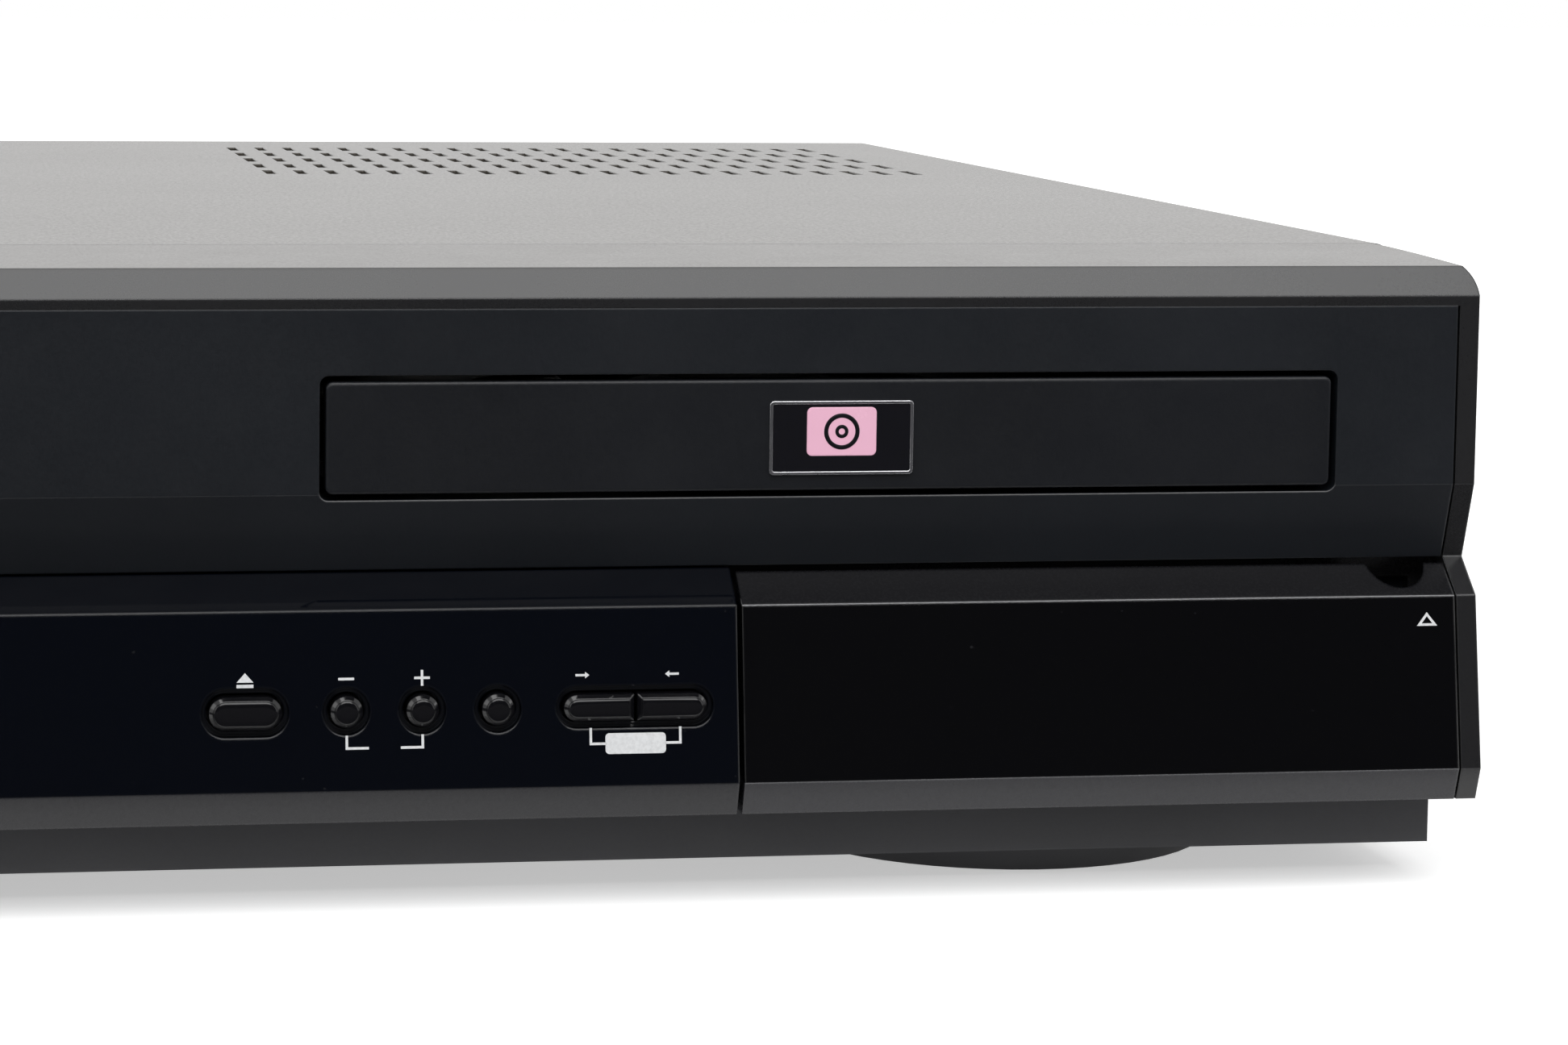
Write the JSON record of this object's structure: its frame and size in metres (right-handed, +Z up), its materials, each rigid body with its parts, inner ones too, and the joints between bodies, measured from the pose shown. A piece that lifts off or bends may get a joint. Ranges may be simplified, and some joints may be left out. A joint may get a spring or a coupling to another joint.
{
  "type": "dvd vcr combo player",
  "caption": "Rack-wide disc recorder and cassette recorder in one low case, with sliding disc tray, cassette door, drop flap over the front sockets and pressable keys.",
  "frame": {"origin": "on the floor under the middle of the machine's width and depth", "axes": "+X to the right seen from the front, the front faces -Y, +Z up"},
  "size_m": [0.43, 0.346, 0.0822],
  "materials": {
    "cover_paint": "satin, finely textured",
    "pan_paint": "satin",
    "zinc_steel": "zinc plated",
    "bezel_plastic": "fine satin",
    "fascia_plastic": "satin",
    "window_gloss": "polished",
    "flap_gloss": "polished",
    "key_gloss": "polished",
    "print_white": "printed",
    "badge_silver": "bright",
    "badge_rose": "printed",
    "foot_plastic": "matt",
    "screw_black": "black oxide",
    "board_green": "lacquered board",
    "socket_black": "moulded",
    "socket_metal": "plated",
    "display_glass": "clear",
    "drum_metal": "turned",
    "shaft_steel": "ground",
    "reel_plastic": "moulded",
    "roller_rubber": "matt",
    "loader_plastic": "moulded",
    "gear_plastic": "moulded"
  },
  "bodies": {
    "cabinet": {"base_chassis": "pan_paint", "top_cover": "cover_paint", "rear_panel": "pan_paint", "front_bezel": "bezel_plastic", "upper_fascia": "fascia_plastic", "control_window": "window_gloss", "feet": "foot_plastic", "cover_screws": "screw_black", "jack_plate": "fascia_plastic", "front_rca_jacks": "socket_black", "front_svideo_socket": "socket_black", "front_usb_socket": "socket_metal", "front_dv_socket": "socket_black", "key_board": "board_green", "display_module": "display_glass", "deck_plate": "zinc_steel", "lower_drum": "drum_metal", "tape_guides": "shaft_steel", "loading_motor": "zinc_steel", "loader_chassis": "loader_plastic", "tray_motor": "zinc_steel", "traverse_frame": "zinc_steel", "guide_rods": "shaft_steel", "clamp_bridge": "zinc_steel", "main_board": "board_green", "power_board": "board_green", "tuner": "zinc_steel", "rear_rca_jacks": "socket_black", "scart_sockets": "socket_black", "mains_inlet": "socket_black", "fan_frame": "socket_black"},
    "disc_tray": {"disc_tray": "loader_plastic", "tray_door": "fascia_plastic"},
    "connector_flap": {"connector_flap": "flap_gloss"},
    "cassette_door": {"cassette_door": "fascia_plastic"},
    "cassette_holder": {"cassette_holder": "zinc_steel"},
    "upper_drum": {"upper_drum": "drum_metal"},
    "capstan": {"capstan": "shaft_steel"},
    "supply_reel": {"supply_reel": "reel_plastic"},
    "takeup_reel": {"takeup_reel": "reel_plastic"},
    "pinch_arm": {"pinch_arm": "zinc_steel"},
    "pinch_roller": {"pinch_roller": "roller_rubber"},
    "drive_gear": {"drive_gear": "gear_plastic"},
    "pulley_gear": {"pulley_gear": "gear_plastic"},
    "turntable": {"turntable": "loader_plastic"},
    "laser_sled": {"laser_sled": "drum_metal"},
    "sled_gear": {"sled_gear": "gear_plastic"},
    "clamper": {"clamper": "gear_plastic"},
    "fan_rotor": {"fan_rotor": "reel_plastic"},
    "open_close_button": {"open_close_button": "key_gloss"},
    "channel_down_button": {"channel_down_button": "key_gloss"},
    "channel_up_button": {"channel_up_button": "key_gloss"},
    "source_button": {"source_button": "key_gloss"},
    "copy_to_disc_button": {"copy_to_disc_button": "key_gloss"},
    "copy_to_tape_button": {"copy_to_tape_button": "key_gloss"},
    "power_button": {"power_button": "key_gloss"},
    "tape_eject_button": {"tape_eject_button": "key_gloss"},
    "play_button": {"play_button": "key_gloss"},
    "stop_button": {"stop_button": "key_gloss"},
    "record_button": {"record_button": "key_gloss"}
  },
  "joints": [
    {"name": "connector_flap_fold", "type": "hinge", "parent": "cabinet", "child": "connector_flap", "pos_m": [0.1651, -0.1674, 0.0146], "axis": [1, 0, 0], "range_deg": [0, 90]},
    {"name": "cassette_door_swing", "type": "hinge", "parent": "cabinet", "child": "cassette_door", "pos_m": [-0.084, -0.1655, 0.0729], "axis": [1, 0, 0], "range_deg": [0, 80], "stiffness_Nm_per_rad": 0.01, "springref_deg": -17.19},
    {"name": "disc_tray_slide", "type": "slide", "parent": "cabinet", "child": "disc_tray", "axis": [0, -1, 0], "range_m": [0, 0.138]},
    {"name": "press_open_close", "type": "slide", "parent": "cabinet", "child": "open_close_button", "axis": [0, 1, 0], "range_m": [0, 0.0008], "stiffness_N_per_m": 300},
    {"name": "press_channel_down", "type": "slide", "parent": "cabinet", "child": "channel_down_button", "axis": [0, 1, 0], "range_m": [0, 0.0008], "stiffness_N_per_m": 300},
    {"name": "press_channel_up", "type": "slide", "parent": "cabinet", "child": "channel_up_button", "axis": [0, 1, 0], "range_m": [0, 0.0008], "stiffness_N_per_m": 300},
    {"name": "press_source", "type": "slide", "parent": "cabinet", "child": "source_button", "axis": [0, 1, 0], "range_m": [0, 0.0008], "stiffness_N_per_m": 300},
    {"name": "press_copy_to_disc", "type": "slide", "parent": "cabinet", "child": "copy_to_disc_button", "axis": [0, 1, 0], "range_m": [0, 0.0008], "stiffness_N_per_m": 300},
    {"name": "press_copy_to_tape", "type": "slide", "parent": "cabinet", "child": "copy_to_tape_button", "axis": [0, 1, 0], "range_m": [0, 0.0008], "stiffness_N_per_m": 300},
    {"name": "press_power", "type": "slide", "parent": "cabinet", "child": "power_button", "axis": [0, 1, 0], "range_m": [0, 0.0008], "stiffness_N_per_m": 300},
    {"name": "press_tape_eject", "type": "slide", "parent": "cabinet", "child": "tape_eject_button", "axis": [0, 1, 0], "range_m": [0, 0.0008], "stiffness_N_per_m": 300},
    {"name": "press_play", "type": "slide", "parent": "cabinet", "child": "play_button", "axis": [0, 1, 0], "range_m": [0, 0.0008], "stiffness_N_per_m": 300},
    {"name": "press_stop", "type": "slide", "parent": "cabinet", "child": "stop_button", "axis": [0, 1, 0], "range_m": [0, 0.0008], "stiffness_N_per_m": 300},
    {"name": "press_record", "type": "slide", "parent": "cabinet", "child": "record_button", "axis": [0, 1, 0], "range_m": [0, 0.0008], "stiffness_N_per_m": 300},
    {"name": "tape_lift", "type": "slide", "parent": "cabinet", "child": "cassette_holder", "axis": [0, 0, -1], "range_m": [0, 0.014]},
    {"name": "travel_laser_sled", "type": "slide", "parent": "cabinet", "child": "laser_sled", "axis": [0, 1, 0], "range_m": [0, 0.033]},
    {"name": "turn_drive_gear", "type": "hinge", "parent": "cabinet", "child": "drive_gear", "pos_m": [0.0864, -0.1449, 0.0526], "axis": [0, 0, 1], "continuous": true},
    {"name": "turn_pulley_gear", "type": "hinge", "parent": "cabinet", "child": "pulley_gear", "pos_m": [0.1024, -0.1449, 0.0526], "axis": [0, 0, 1], "continuous": true},
    {"name": "turn_sled_gear", "type": "hinge", "parent": "cabinet", "child": "sled_gear", "pos_m": [0.1724, -0.0488, 0.047], "axis": [0, 0, 1], "continuous": true},
    {"name": "spin_turntable", "type": "hinge", "parent": "cabinet", "child": "turntable", "pos_m": [0.1304, -0.0988, 0.045], "axis": [0, 0, 1], "continuous": true},
    {"name": "spin_clamper", "type": "hinge", "parent": "cabinet", "child": "clamper", "pos_m": [0.1304, -0.0988, 0.0665], "axis": [0, 0, 1], "continuous": true},
    {"name": "spin_head_drum", "type": "hinge", "parent": "cabinet", "child": "upper_drum", "pos_m": [-0.084, 0.0011, 0.0252], "axis": [0.0785, 0, 0.9969], "continuous": true},
    {"name": "spin_capstan", "type": "hinge", "parent": "cabinet", "child": "capstan", "pos_m": [-0.026, -0.0179, 0.02], "axis": [0, 0, 1], "continuous": true},
    {"name": "spin_supply_reel", "type": "hinge", "parent": "cabinet", "child": "supply_reel", "pos_m": [-0.13, -0.0859, 0.0212], "axis": [0, 0, 1], "continuous": true},
    {"name": "spin_takeup_reel", "type": "hinge", "parent": "cabinet", "child": "takeup_reel", "pos_m": [-0.038, -0.0859, 0.0212], "axis": [0, 0, 1], "continuous": true},
    {"name": "swing_pinch_arm", "type": "hinge", "parent": "cabinet", "child": "pinch_arm", "pos_m": [-0.004, -0.0039, 0.0212], "axis": [0, 0, -1], "range_deg": [0, 15]},
    {"name": "spin_pinch_roller", "type": "hinge", "parent": "pinch_arm", "child": "pinch_roller", "pos_m": [-0.014, -0.0259, 0.0302], "axis": [0, 0, 1], "continuous": true},
    {"name": "spin_fan", "type": "hinge", "parent": "cabinet", "child": "fan_rotor", "pos_m": [-0.019, 0.1543, 0.0405], "axis": [0, 1, 0], "continuous": true}
  ],
  "couplings": [
    {"joint": "turn_drive_gear", "follows": "disc_tray_slide", "rad_per_m": 100},
    {"joint": "turn_pulley_gear", "follows": "disc_tray_slide", "rad_per_m": -166.67},
    {"joint": "turn_sled_gear", "follows": "travel_laser_sled", "rad_per_m": -142.86}
  ]
}
